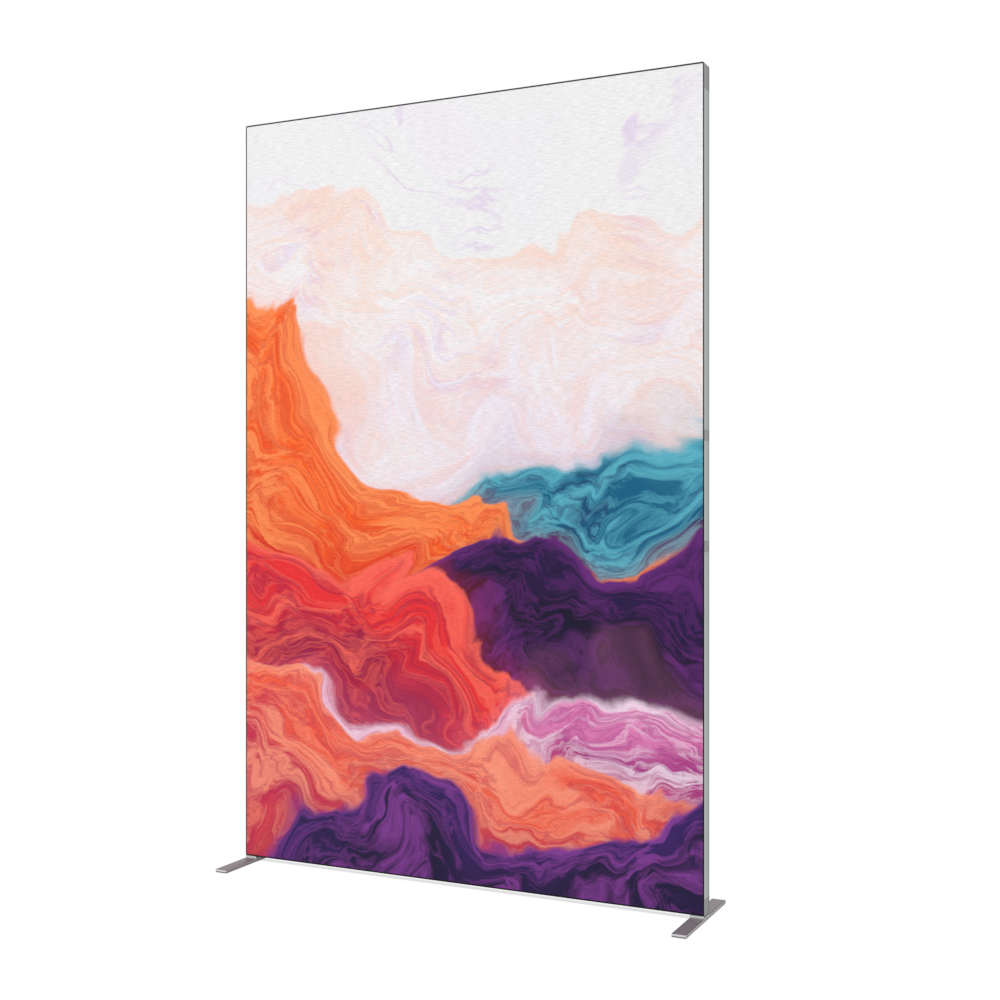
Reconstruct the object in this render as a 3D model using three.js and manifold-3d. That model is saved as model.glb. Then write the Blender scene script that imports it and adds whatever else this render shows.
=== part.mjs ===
// A free-standing display wall: a printed cloth stretched in a slim aluminium frame that stands
// on two flat bar feet. The frame comes apart into short lengths. Moulded corners and joiners plug
// into the hollow extrusions and are held there by sprung buttons. Each foot turns about one bolt.
//
// Millimetres, +Z up, the cloth faces -Y and left is -X. The origin is on the floor, midway
// between the feet and under the middle of the frame's depth.

import * as THREE from 'three';
import { mergeVertices } from 'three/addons/utils/BufferGeometryUtils.js';
import Module from 'manifold-3d';

const wasm = await Module();
wasm.setup();

// The frame as a whole
const wallWidth = 1500;
const wallHeight = 2300;
const outerRadius = 5;

// The hollow extrusion that all four sides are cut from
const profileDepth = 46;
const profileWidth = 30;
const profileWall = 1.6;
const lipWidth = 1.2;
const lipRadius = 0.6;
const grooveWidth = 3.4;
const grooveDepth = 15;
const clothRecess = 1.2;
const innerEdgeRadius = 2;

// Clearances: between fitted pieces, round a sprung button, and how far a cutter overruns
const fitGap = 0.3;
const buttonGap = 0.7;
const overrun = 2;

// The moulded corners
const topCornerHeight = 70;
const bottomCornerHeight = 44;
const cornerReach = 70;
const cornerFillet = 8;

// The joiners: a band that shows between two lengths, with a spigot on each side
const joinerBand = 30;
const lowerJoinerHeight = 995;
const joinerSpacing = 300;
const spigotLength = 50;
const spigotWall = 2.4;
const spigotChamfer = 1.8;
const spigotFloor = 4;

// The sprung button: a steel leaf with a domed head
const leafWidth = 12;
const leafThickness = 0.8;
const leafTipInset = 5;
const leafFold = 3;
const headDiameter = 8;
const headInset = 7;
const headProud = 1.5;
const headDome = 1;

// The stabilising crossbar and the brackets that carry it
const crossbarTall = 30;
const crossbarDeep = 20;
const crossbarWall = 1.5;
const crossbarEdge = 2;
const sleeveLength = 140;
const bracketPlate = 4;
const bracketTall = 66;
const bracketDeep = 34;
const bracketRadius = 5;
const bracketReach = 20;
const bracketWall = 3;
const bracketScrewHole = 4.4;
const bracketScrewInset = 6;

// The cloth
const clothThickness = 0.6;

// The feet, their spacers, bolts, inserts and pads
const footLength = 356;
const footWidth = 40;
const footThickness = 8;
const footRadius = 1;
const footBevel = 0.5;
const spacerThickness = 7;
const spacerRadius = 2;
const padThickness = 1;
const padLength = 44;
const padWidth = 28;
const padInset = 10;
const padRadius = 3;
const boltDiameter = 8;
const boltHeadDiameter = 16;
const boltHeadHeight = 4.6;
const boltReach = 18;
const boltSocket = 5.8;
const boltSocketDepth = 2.6;
const insertWall = 2;

// How finely curves are cut
const arcSteps = 3;
const roundSides = 16;

// Levels and planes that follow from the sizes above
const footTop = padThickness + footThickness;
const frameBottom = footTop + fitGap + spacerThickness;
const frameTop = frameBottom + wallHeight;
const frameRight = wallWidth / 2;
const footAxis = frameRight - footWidth / 2;
const upperJoinerHeight = lowerJoinerHeight + joinerSpacing;
const crossbarHeight = lowerJoinerHeight + joinerSpacing / 2;
const profileFront = profileDepth / 2;
const recessFront = profileFront - clothRecess;
const grooveInner = lipWidth + grooveWidth;
const cavityOuter = grooveInner + profileWall;
const cavityInner = profileWidth - profileWall;
const cavityFront = recessFront - profileWall;
const grooveFloor = profileFront - grooveDepth;
const spigotOuter = cavityOuter + fitGap;
const spigotInner = cavityInner - fitGap;
const spigotFront = cavityFront - fitGap;
const pocketDepth = spigotLength - spigotFloor;
const leafFace = spigotInner - spigotWall - fitGap;
const leafLength = pocketDepth - fitGap - leafTipInset;
const headAlongLeaf = leafLength - headInset;
const headFromBand = spigotFloor + fitGap + headAlongLeaf;

// Colours and surface values of the finishes
const finishes = {
  anodised: { color: 0xa5aaa9, roughness: 0.38, metalness: 0.85 },
  cornerPlastic: { color: 0x949494, roughness: 0.55, metalness: 0 },
  joinerPlastic: { color: 0x909493, roughness: 0.55, metalness: 0 },
  springSteel: { color: 0xb9bbbd, roughness: 0.3, metalness: 1 },
  printedCloth: { color: 0xd98a70, roughness: 0.9, metalness: 0 },
  silicone: { color: 0xe6e7e4, roughness: 0.6, metalness: 0 },
  coatedSteel: { color: 0x8a878a, roughness: 0.4, metalness: 0.3 },
  palePlastic: { color: 0xc8cdcd, roughness: 0.5, metalness: 0 },
  rubber: { color: 0x242424, roughness: 0.9, metalness: 0 },
  zincSteel: { color: 0xa9abad, roughness: 0.35, metalness: 1 },
  brass: { color: 0xb08d4c, roughness: 0.35, metalness: 1 },
};

// A three.js geometry as a solid for cutting and joining
function toSolid(geometry) {
  const plain = geometry.clone();
  plain.deleteAttribute('normal');
  plain.deleteAttribute('uv');
  const merged = mergeVertices(plain);
  return new wasm.Manifold(new wasm.Mesh({
    numProp: 3,
    vertProperties: Float32Array.from(merged.attributes.position.array),
    triVerts: Uint32Array.from(merged.index.array),
  }));
}

// A solid back as a flat-shaded three.js geometry
function toGeometry(solid) {
  const mesh = solid.getMesh();
  const geometry = new THREE.BufferGeometry();
  geometry.setAttribute('position', new THREE.BufferAttribute(mesh.vertProperties, mesh.numProp));
  geometry.setIndex(new THREE.BufferAttribute(mesh.triVerts, 1));
  const flat = geometry.toNonIndexed();
  flat.computeVertexNormals();
  return flat;
}

// A closed outline of square corners, each { x, y, r } with r the corner's radius
function outline(corners) {
  const shape = new THREE.Shape();
  corners.forEach((corner, index) => {
    const here = new THREE.Vector2(corner.x, corner.y);
    const before = corners[(index + corners.length - 1) % corners.length];
    const after = corners[(index + 1) % corners.length];
    const back = new THREE.Vector2(before.x, before.y).sub(here).normalize();
    const ahead = new THREE.Vector2(after.x, after.y).sub(here).normalize();
    const radius = corner.r ?? 0;
    const start = here.clone().addScaledVector(back, radius);
    if (index === 0) {
      shape.moveTo(start.x, start.y);
    } else {
      shape.lineTo(start.x, start.y);
    }
    if (radius > 0) {
      const centre = start.clone().addScaledVector(ahead, radius);
      const end = here.clone().addScaledVector(ahead, radius);
      const from = start.clone().sub(centre).angle();
      const to = end.clone().sub(centre).angle();
      shape.absarc(centre.x, centre.y, radius, from, to, back.cross(ahead) > 0);
    }
  });
  shape.closePath();
  return shape;
}

// A rectangle about the origin with one radius at its corners
function rectangle(width, height, radius) {
  return outline([
    { x: -width / 2, y: -height / 2, r: radius },
    { x: width / 2, y: -height / 2, r: radius },
    { x: width / 2, y: height / 2, r: radius },
    { x: -width / 2, y: height / 2, r: radius },
  ]);
}

// Extrusions of a shape along +Z, along +X, and along Y about y = 0
function alongZ(shape, length) {
  return new THREE.ExtrudeGeometry(shape, { depth: length, bevelEnabled: false, curveSegments: arcSteps });
}

function alongX(shape, length) {
  const basis = new THREE.Matrix4().makeBasis(
    new THREE.Vector3(0, 1, 0),
    new THREE.Vector3(0, 0, 1),
    new THREE.Vector3(1, 0, 0),
  );
  return alongZ(shape, length).applyMatrix4(basis);
}

function acrossY(shape, depth) {
  return alongZ(shape, depth).translate(0, 0, -depth / 2).rotateX(Math.PI / 2);
}

// A box between two corners
function block(x0, x1, y0, y1, z0, z1) {
  const box = new THREE.BoxGeometry(x1 - x0, y1 - y0, z1 - z0);
  return box.translate((x0 + x1) / 2, (y0 + y1) / 2, (z0 + z1) / 2);
}

// A rod along +Z from z = 0
function rod(diameter, length) {
  const cylinder = new THREE.CylinderGeometry(diameter / 2, diameter / 2, length, roundSides);
  return cylinder.rotateX(Math.PI / 2).translate(0, 0, length / 2);
}

const wall = new THREE.Group();

function addPiece(group, name, geometry, finish) {
  const mesh = new THREE.Mesh(geometry, new THREE.MeshStandardMaterial(finishes[finish]));
  mesh.name = name;
  group.add(mesh);
  return mesh;
}

// The four sides are built alike, each in a group of its own. There the side runs along +Z from
// one end of the frame, its outer face is at x = 0 and its inner face at x = -profileWidth.

// The extrusion's outline: lips outside, a cloth groove front and back, a recessed face behind
// which the cloth lies flush
function profileOutline() {
  return outline([
    { x: 0, y: -profileFront, r: lipRadius },
    { x: 0, y: profileFront, r: lipRadius },
    { x: -lipWidth, y: profileFront },
    { x: -lipWidth, y: grooveFloor },
    { x: -grooveInner, y: grooveFloor },
    { x: -grooveInner, y: recessFront },
    { x: -profileWidth, y: recessFront, r: innerEdgeRadius },
    { x: -profileWidth, y: -recessFront, r: innerEdgeRadius },
    { x: -grooveInner, y: -recessFront },
    { x: -grooveInner, y: -grooveFloor },
    { x: -lipWidth, y: -grooveFloor },
    { x: -lipWidth, y: -profileFront },
  ]);
}

// Its hollow: a chamber for the spigots, with a bay between the two grooves
function profileCavity() {
  const bay = grooveFloor - profileWall;
  return outline([
    { x: -cavityOuter, y: -cavityFront },
    { x: -cavityInner, y: -cavityFront },
    { x: -cavityInner, y: cavityFront },
    { x: -cavityOuter, y: cavityFront },
    { x: -cavityOuter, y: bay },
    { x: -profileWall, y: bay },
    { x: -profileWall, y: -bay },
    { x: -cavityOuter, y: -bay },
  ]);
}

// A round cutter through a side's inner wall, for a button's head at height z
function buttonCutter(z) {
  const cutter = rod(headDiameter + 2 * buttonGap, profileWidth);
  return cutter.rotateY(-Math.PI / 2).translate(-leafFace, 0, z);
}

// One length of extrusion from z = from to z = to, with a hole for each button
function profileLength(from, to, buttons) {
  const section = profileOutline();
  section.holes.push(profileCavity());
  const length = alongZ(section, to - from - 2 * fitGap).translate(0, 0, from + fitGap);
  if (buttons.length === 0) {
    return length;
  }
  let solid = toSolid(length);
  for (const z of buttons) {
    solid = solid.subtract(toSolid(buttonCutter(z)));
  }
  return toGeometry(solid);
}

// A spigot along +Z from z = 0, hollow from its tip, with its tip chamfered for entry. It starts
// sunk in the piece that carries it.
function spigot(withButton) {
  const middle = -(spigotOuter + spigotInner) / 2;
  const width = spigotInner - spigotOuter;
  const depth = 2 * spigotFront;
  const body = block(
    -spigotInner, -spigotOuter, -spigotFront, spigotFront, -overrun, spigotLength - spigotChamfer,
  );
  const tip = new THREE.CylinderGeometry(Math.SQRT1_2, Math.SQRT1_2, 1, 4, 1, false, Math.PI / 4);
  tip.rotateX(Math.PI / 2).translate(0, 0, 1 / 2);
  const corners = tip.attributes.position;
  for (let i = 0; i < corners.count; i += 1) {
    const inset = corners.getZ(i) > 1 / 2 ? 2 * spigotChamfer : 0;
    corners.setX(i, corners.getX(i) * (width - inset));
    corners.setY(i, corners.getY(i) * (depth - inset));
    corners.setZ(i, corners.getZ(i) * spigotChamfer);
  }
  tip.translate(middle, 0, spigotLength - spigotChamfer);
  const pocket = block(
    -spigotInner + spigotWall, -spigotOuter - spigotWall,
    -spigotFront + spigotWall, spigotFront - spigotWall,
    spigotFloor, spigotLength + overrun,
  );
  let solid = toSolid(body).add(toSolid(tip)).subtract(toSolid(pocket));
  if (withButton) {
    solid = solid.subtract(toSolid(buttonCutter(headFromBand)));
  }
  return solid;
}

// The sprung button, placed as in a spigot whose band ends at z = 0. The leaf's root is at the
// spigot's floor and its head looks out of the inner face.
function snapButton() {
  const root = spigotFloor + fitGap;
  const leaf = block(
    -leafFace, -leafFace + leafThickness, -leafWidth / 2, leafWidth / 2, root, root + leafLength,
  );
  const fold = block(
    -leafFace, -leafFace + leafFold, -leafWidth / 2, leafWidth / 2,
    root + leafLength - leafThickness, root + leafLength,
  );
  const height = profileWidth + headProud - leafFace;
  const radius = headDiameter / 2;
  const head = new THREE.LatheGeometry([
    new THREE.Vector2(0, -leafThickness / 2),
    new THREE.Vector2(radius, -leafThickness / 2),
    new THREE.Vector2(radius, height - headDome),
    new THREE.Vector2(radius - headDome, height - headDome / 3),
    new THREE.Vector2(0, height),
  ], roundSides);
  head.rotateX(Math.PI / 2).rotateY(-Math.PI / 2).translate(-leafFace, 0, headFromBand);
  return toGeometry(toSolid(leaf).add(toSolid(fold)).add(toSolid(head)));
}

// A joiner about z = 0: the band has the extrusion's own outline, the upper spigot has the button
// and the lower one is riveted
function joiner() {
  const band = alongZ(profileOutline(), joinerBand).translate(0, 0, -joinerBand / 2);
  const upper = spigot(true).translate([0, 0, joinerBand / 2]);
  const lower = spigot(false).rotate([180, 0, 0]).translate([0, 0, -joinerBand / 2]);
  return toGeometry(toSolid(band).add(upper).add(lower));
}

// One side of the frame, in its own group: the lengths between the joiners at the given heights
function frameSide(group, names, start, end, joinerHeights, buttonsAtEnds) {
  const ends = [start, ...joinerHeights.flatMap((z) => [z - joinerBand / 2, z + joinerBand / 2]), end];
  names.lengths.forEach((name, index) => {
    const from = ends[2 * index];
    const to = ends[2 * index + 1];
    const buttons = [];
    if (index > 0 || buttonsAtEnds) {
      buttons.push(from + headFromBand);
    }
    if (index === names.lengths.length - 1 && buttonsAtEnds) {
      buttons.push(to - headFromBand);
    }
    addPiece(group, name, profileLength(from, to, buttons), 'anodised');
  });
  joinerHeights.forEach((z, index) => {
    addPiece(group, names.joiners[index], joiner(), 'joinerPlastic').position.z = z;
    addPiece(group, names.buttons[index], snapButton(), 'springSteel').position.z = z + joinerBand / 2;
  });
}

// The corners are built as the bottom right one. The outer corner is at the origin, with one arm
// along +Z and one along -X.

function cornerOutline(height) {
  return outline([
    { x: 0, y: 0, r: outerRadius },
    { x: 0, y: height },
    { x: -profileWidth, y: height },
    { x: -profileWidth, y: profileWidth, r: cornerFillet },
    { x: -cornerReach, y: profileWidth },
    { x: -cornerReach, y: 0 },
  ]);
}

// The groove that carries the cloth's edge round the corner
function cornerGroove(height) {
  return outline([
    { x: -lipWidth, y: lipWidth, r: outerRadius - lipWidth },
    { x: -lipWidth, y: height + overrun },
    { x: -grooveInner, y: height + overrun },
    { x: -grooveInner, y: grooveInner },
    { x: -cornerReach - overrun, y: grooveInner },
    { x: -cornerReach - overrun, y: lipWidth },
  ]);
}

// The whole area inside the groove, where the cloth lies
function cornerRecess(height) {
  return outline([
    { x: -grooveInner + lipWidth / 2, y: grooveInner - lipWidth / 2 },
    { x: -grooveInner + lipWidth / 2, y: height + overrun },
    { x: -cornerReach - overrun, y: height + overrun },
    { x: -cornerReach - overrun, y: grooveInner - lipWidth / 2 },
  ]);
}

function corner(height, withFoot) {
  let solid = toSolid(acrossY(cornerOutline(height), profileDepth));
  const cuts = [
    { shape: cornerGroove(height), depth: grooveDepth },
    { shape: cornerRecess(height), depth: clothRecess },
  ];
  for (const { shape, depth } of cuts) {
    for (const side of [-1, 1]) {
      const middle = side * (profileFront - depth / 2 + overrun / 2);
      const cutter = acrossY(shape, depth + overrun).translate(0, middle, 0);
      solid = solid.subtract(toSolid(cutter));
    }
  }
  const across = new THREE.Matrix4().makeRotationAxis(
    new THREE.Vector3(1, 0, -1).normalize(),
    Math.PI,
  );
  const sideways = spigot(false).transform(across.elements).translate([-cornerReach, 0, 0]);
  solid = solid.add(spigot(true).translate([0, 0, height])).add(sideways);
  if (withFoot) {
    const bore = rod(boltDiameter + 2 * (fitGap + insertWall + fitGap), overrun + boltReach + fitGap);
    solid = solid.subtract(toSolid(bore.translate(-footWidth / 2, 0, -overrun)));
  }
  return toGeometry(solid);
}

// The bracket on a side's inner face: a plate with two screw holes and an open-topped cradle
function bracket() {
  const face = -profileWidth - fitGap;
  const plate = rectangle(bracketDeep, bracketTall, bracketRadius);
  for (const side of [-1, 1]) {
    const hole = new THREE.Path();
    const up = side * (bracketTall / 2 - bracketScrewInset);
    hole.absarc(0, up, bracketScrewHole / 2, 0, 2 * Math.PI, true);
    plate.holes.push(hole);
  }
  const insideY = crossbarDeep / 2 + fitGap;
  const insideZ = crossbarTall / 2 + fitGap;
  const outsideY = insideY + bracketWall;
  const cradle = outline([
    { x: -outsideY, y: -insideZ - bracketWall, r: bracketWall },
    { x: outsideY, y: -insideZ - bracketWall, r: bracketWall },
    { x: outsideY, y: insideZ },
    { x: insideY, y: insideZ },
    { x: insideY, y: -insideZ },
    { x: -insideY, y: -insideZ },
    { x: -insideY, y: insideZ },
    { x: -outsideY, y: insideZ },
  ]);
  const back = alongX(plate, bracketPlate).translate(face - bracketPlate, 0, 0);
  const cup = alongX(cradle, bracketReach + bracketPlate / 2);
  cup.translate(face - bracketPlate - bracketReach, 0, 0);
  return toGeometry(toSolid(back).add(toSolid(cup)));
}

// The frame's four sides
const right = new THREE.Group();
right.position.set(frameRight, 0, frameBottom);
const left = new THREE.Group();
left.position.set(-frameRight, 0, frameBottom);
left.rotation.z = Math.PI;
const top = new THREE.Group();
top.position.set(frameRight, 0, frameTop);
top.rotation.y = -Math.PI / 2;
const bottom = new THREE.Group();
bottom.position.set(-frameRight, 0, frameBottom);
bottom.rotation.y = Math.PI / 2;
wall.add(right, left, top, bottom);

for (const [group, side] of [[right, 'right'], [left, 'left']]) {
  const names = {
    lengths: ['lower', 'middle', 'upper'].map((level) => `upright_${side}_${level}`),
    joiners: ['lower', 'upper'].map((level) => `joiner_${side}_${level}`),
    buttons: ['lower', 'upper'].map((level) => `snap_button_${side}_${level}`),
  };
  const joints = [lowerJoinerHeight, upperJoinerHeight];
  frameSide(group, names, bottomCornerHeight, wallHeight - topCornerHeight, joints, true);
  const carrier = addPiece(group, `crossbar_bracket_${side}`, bracket(), 'joinerPlastic');
  carrier.position.z = crossbarHeight;
}

for (const [group, side, order] of [[top, 'top', ['right', 'left']], [bottom, 'bottom', ['left', 'right']]]) {
  const names = {
    lengths: order.map((half) => `rail_${side}_${half}`),
    joiners: [`joiner_${side}`],
    buttons: [`snap_button_${side}`],
  };
  frameSide(group, names, cornerReach, wallWidth - cornerReach, [wallWidth / 2], false);
}

// The four corners, each with the button that holds its upright
const corners = [
  { name: 'bottom_right', x: frameRight, z: frameBottom, turn: [0, 0, 0] },
  { name: 'bottom_left', x: -frameRight, z: frameBottom, turn: [0, 0, Math.PI] },
  { name: 'top_right', x: frameRight, z: frameTop, turn: [Math.PI, 0, 0] },
  { name: 'top_left', x: -frameRight, z: frameTop, turn: [0, Math.PI, 0] },
];
for (const { name, x, z, turn } of corners) {
  const atBottom = z === frameBottom;
  const height = atBottom ? bottomCornerHeight : topCornerHeight;
  const group = new THREE.Group();
  group.position.set(x, 0, z);
  group.rotation.set(...turn);
  addPiece(group, `corner_${name}`, corner(height, atBottom), 'cornerPlastic');
  addPiece(group, `snap_button_${name}`, snapButton(), 'springSteel').position.z = height;
  wall.add(group);
}

// The crossbar: two tubes that meet at the middle on a sleeve inside them
function crossbarTube(length) {
  const section = rectangle(crossbarDeep, crossbarTall, crossbarEdge);
  const inside = 2 * crossbarWall;
  section.holes.push(rectangle(crossbarDeep - inside, crossbarTall - inside, crossbarEdge / 2));
  return alongX(section, length);
}

function crossbarSleeve() {
  const outside = 2 * (crossbarWall + fitGap);
  const inside = outside + 2 * crossbarWall;
  const section = rectangle(crossbarDeep - outside, crossbarTall - outside, crossbarEdge / 2);
  section.holes.push(rectangle(crossbarDeep - inside, crossbarTall - inside, crossbarEdge / 2));
  return alongX(section, sleeveLength).translate(-sleeveLength / 2, 0, 0);
}

const crossbar = new THREE.Group();
crossbar.position.z = frameBottom + crossbarHeight;
const crossbarEnd = frameRight - profileWidth - fitGap - bracketPlate - fitGap;
const crossbarHalf = crossbarEnd - fitGap / 2;
addPiece(crossbar, 'crossbar_right', crossbarTube(crossbarHalf), 'anodised').position.x = fitGap / 2;
addPiece(crossbar, 'crossbar_left', crossbarTube(crossbarHalf), 'anodised').position.x = -crossbarEnd;
addPiece(crossbar, 'crossbar_sleeve', crossbarSleeve(), 'anodised');
wall.add(crossbar);

// The cloth lies in the front recess. Silicone strips sewn along its edges sit in the groove.
const clothEdge = lipWidth + fitGap;
const clothShape = rectangle(
  wallWidth - 2 * clothEdge,
  wallHeight - 2 * clothEdge,
  outerRadius - clothEdge,
);
const cloth = addPiece(wall, 'cloth_front', acrossY(clothShape, clothThickness), 'printedCloth');
cloth.position.y = -recessFront - fitGap - clothThickness / 2;
cloth.position.z = frameBottom + wallHeight / 2;

function stripAlong(length) {
  const depth = grooveDepth - clothRecess - fitGap;
  return block(-grooveInner + fitGap, -lipWidth - fitGap, -recessFront, -recessFront + depth, 0, length);
}

for (const [group, side, length] of [
  [right, 'right', wallHeight],
  [left, 'left', wallHeight],
  [top, 'top', wallWidth],
  [bottom, 'bottom', wallWidth],
]) {
  const strip = stripAlong(length - 2 * outerRadius);
  if (group === left) {
    strip.rotateZ(Math.PI).translate(-lipWidth - grooveInner, 0, 0);
  }
  addPiece(group, `silicone_strip_${side}`, strip, 'silicone').position.z = outerRadius;
}

// The feet: a flat bar, a spacer under the corner, a countersunk bolt and its insert, two pads
function footBar() {
  const plan = rectangle(footWidth - 2 * footBevel, footLength - 2 * footBevel, footRadius);
  const bar = new THREE.ExtrudeGeometry(plan, {
    depth: footThickness - 2 * footBevel,
    bevelThickness: footBevel,
    bevelSize: footBevel,
    bevelSegments: 1,
    curveSegments: arcSteps,
  });
  bar.translate(0, 0, footBevel);
  return toGeometry(toSolid(bar).subtract(toSolid(boltShape(fitGap, overrun, footThickness + overrun))));
}

// A countersunk bolt with its head down at z = 0, grown by a clearance and run on below
function boltShape(clearance, below, length) {
  const headRadius = boltHeadDiameter / 2 + clearance;
  const shankRadius = boltDiameter / 2 + clearance;
  return new THREE.LatheGeometry([
    new THREE.Vector2(0, -below),
    new THREE.Vector2(headRadius, -below),
    new THREE.Vector2(headRadius, clearance),
    new THREE.Vector2(shankRadius, boltHeadHeight + clearance),
    new THREE.Vector2(shankRadius, length),
    new THREE.Vector2(0, length),
  ], roundSides).rotateX(Math.PI / 2);
}

function footBolt() {
  const length = footThickness + fitGap + spacerThickness + boltReach;
  const socket = new THREE.CylinderGeometry(boltSocket / 2, boltSocket / 2, boltSocketDepth + overrun, 6);
  socket.rotateX(Math.PI / 2).translate(0, 0, (boltSocketDepth - overrun) / 2);
  return toGeometry(toSolid(boltShape(0, 0, length)).subtract(toSolid(socket)));
}

// A plate of the given plan with a round bore at its middle, along +Z from z = 0
function boredPlate(plan, bore, thickness) {
  const hole = new THREE.Path();
  hole.absarc(0, 0, bore / 2, 0, 2 * Math.PI, true);
  plan.holes.push(hole);
  return new THREE.ExtrudeGeometry(plan, {
    depth: thickness,
    bevelEnabled: false,
    curveSegments: roundSides,
  });
}

const boltBore = boltDiameter + 2 * fitGap;
for (const [side, x] of [['left', -footAxis], ['right', footAxis]]) {
  const foot = new THREE.Group();
  foot.position.x = x;
  addPiece(foot, `foot_${side}`, footBar(), 'coatedSteel').position.z = padThickness;
  addPiece(foot, `foot_bolt_${side}`, footBolt(), 'zincSteel').position.z = padThickness;
  const spacerPlan = rectangle(footWidth, profileDepth, spacerRadius);
  const spacer = boredPlate(spacerPlan, boltBore, spacerThickness - fitGap);
  addPiece(foot, `foot_spacer_${side}`, spacer, 'palePlastic').position.z = footTop + fitGap;
  const insertPlan = new THREE.Shape();
  insertPlan.absarc(0, 0, boltBore / 2 + insertWall, 0, 2 * Math.PI, false);
  const insert = boredPlate(insertPlan, boltBore, boltReach);
  addPiece(foot, `foot_insert_${side}`, insert, 'brass').position.z = frameBottom;
  for (const [end, way] of [['front', -1], ['back', 1]]) {
    const pad = alongZ(rectangle(padWidth, padLength, padRadius), padThickness - fitGap);
    const piece = addPiece(foot, `foot_pad_${side}_${end}`, pad, 'rubber');
    piece.position.y = way * (footLength / 2 - padInset - padLength / 2);
  }
  wall.add(foot);
}

export default wall;
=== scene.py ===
# %% [markdown]
# # A free-standing display wall
# The object is a printed cloth stretched over a slim aluminium frame on two flat bar feet. The
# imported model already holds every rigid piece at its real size. This file gives those pieces their
# finishes, makes the cloth that the model only blocks in, adds the small fasteners, and sets up the
# camera and light. Every length is in metres.

# %% Load the frame
import math

import bpy
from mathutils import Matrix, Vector


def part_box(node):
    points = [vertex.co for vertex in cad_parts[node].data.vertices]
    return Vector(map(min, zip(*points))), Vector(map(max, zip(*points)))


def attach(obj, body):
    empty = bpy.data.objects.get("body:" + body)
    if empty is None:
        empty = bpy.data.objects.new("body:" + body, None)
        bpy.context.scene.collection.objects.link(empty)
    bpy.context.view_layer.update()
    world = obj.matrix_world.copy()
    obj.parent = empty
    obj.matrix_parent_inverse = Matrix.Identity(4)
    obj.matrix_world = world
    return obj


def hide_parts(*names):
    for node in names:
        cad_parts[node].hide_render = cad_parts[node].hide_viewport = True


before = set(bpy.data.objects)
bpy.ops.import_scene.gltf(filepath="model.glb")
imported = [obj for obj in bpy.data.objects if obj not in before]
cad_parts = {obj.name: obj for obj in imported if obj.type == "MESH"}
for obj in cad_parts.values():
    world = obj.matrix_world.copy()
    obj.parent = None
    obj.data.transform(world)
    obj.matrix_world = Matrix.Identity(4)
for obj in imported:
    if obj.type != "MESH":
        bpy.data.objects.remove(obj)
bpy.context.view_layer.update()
scene = bpy.context.scene
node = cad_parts

# %% [markdown]
# ## Camera
# The photograph was taken level, half way up the wall, with a normal 50 mm lens. The vanishing
# points of the wall's width and depth give the direction, and the wall's height in the picture
# gives the distance. A level camera keeps the uprights parallel, as they are in the photograph.

# %% Camera
LENS = 50.31
SENSOR = 36
CAMERA_PLACE = (1.8887, -3.6457, 1.1368)
CAMERA_HEADING = math.radians(25.762)

camera_data = bpy.data.cameras.new("camera")
camera_data.lens = LENS
camera_data.sensor_width = SENSOR
camera = bpy.data.objects.new("camera", camera_data)
camera.location = CAMERA_PLACE
camera.rotation_euler = (math.pi / 2, 0, CAMERA_HEADING)
scene.collection.objects.link(camera)
scene.camera = camera
scene.view_settings.view_transform = "Standard"
print("camera at", CAMERA_PLACE, "turned", round(math.degrees(CAMERA_HEADING), 1), "degrees")

# %% [markdown]
# ## Node helpers
# A material is a small network of nodes. These helpers add a node, fill its inputs and join it to
# others, so that a material reads as a list of steps. A value may be a number, a colour or the
# output of another node.


# %% Node helpers
def fill(tree, socket, value):
    """Give a socket a value, or link it where the value is another node's output."""
    if isinstance(value, bpy.types.NodeSocket):
        tree.links.new(value, socket)
    else:
        socket.default_value = value


def add_node(tree, kind, inputs=None, **settings):
    """A node of the given kind, with its inputs filled by name or number."""
    made = tree.nodes.new(kind)
    for name, value in settings.items():
        setattr(made, name, value)
    for name, value in (inputs or {}).items():
        fill(tree, made.inputs[name], value)
    return made


def maths(tree, operation, first, second=0.0, third=0.0):
    inputs = {0: first, 1: second, 2: third}
    return add_node(tree, "ShaderNodeMath", inputs, operation=operation).outputs[0]


def remap(tree, value, low, high, to_low=0.0, to_high=1.0):
    """Value eased from the range low to high into another range, and held inside it."""
    inputs = {0: value, 1: low, 2: high, 3: to_low, 4: to_high}
    made = add_node(tree, "ShaderNodeMapRange", inputs, interpolation_type="SMOOTHSTEP")
    return made.outputs[0]


def mix_colour(tree, factor, first, second, mode="MIX"):
    made = add_node(tree, "ShaderNodeMix", data_type="RGBA", blend_type=mode)
    values = {"Factor": factor, "A": first, "B": second}
    for socket in made.inputs:
        if socket.enabled and socket.name in values:
            fill(tree, socket, values[socket.name])
    return next(socket for socket in made.outputs if socket.enabled)


def noise(tree, place, scale, detail=2.0, roughness=0.5):
    inputs = {"Vector": place, "Scale": scale, "Detail": detail, "Roughness": roughness}
    return add_node(tree, "ShaderNodeTexNoise", inputs).outputs["Fac"]


def stretched(tree, place, scale, move=(0, 0, 0)):
    """The coordinates scaled by a different number along each axis."""
    inputs = {"Vector": place, "Location": move, "Scale": scale}
    return add_node(tree, "ShaderNodeMapping", inputs).outputs[0]


def grey(tree, value):
    return add_node(tree, "ShaderNodeCombineColor", {0: value, 1: value, 2: value}).outputs[0]


def shaded(tree, colour, share):
    """The colour with a share of its light."""
    return mix_colour(tree, 1.0, colour, grey(tree, share), "MULTIPLY")


def split(tree, vector):
    """The three numbers of a vector, by the names of their axes."""
    return add_node(tree, "ShaderNodeSeparateXYZ", {0: vector}).outputs


def srgb(red, green, blue):
    """A colour from 0 to 255, as it looks on a screen, turned into linear light."""
    linear = []
    for value in (red, green, blue):
        share = value / 255
        linear.append(share / 12.92 if share <= 0.04045 else ((share + 0.055) / 1.055) ** 2.4)
    return (*linear, 1.0)


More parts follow.
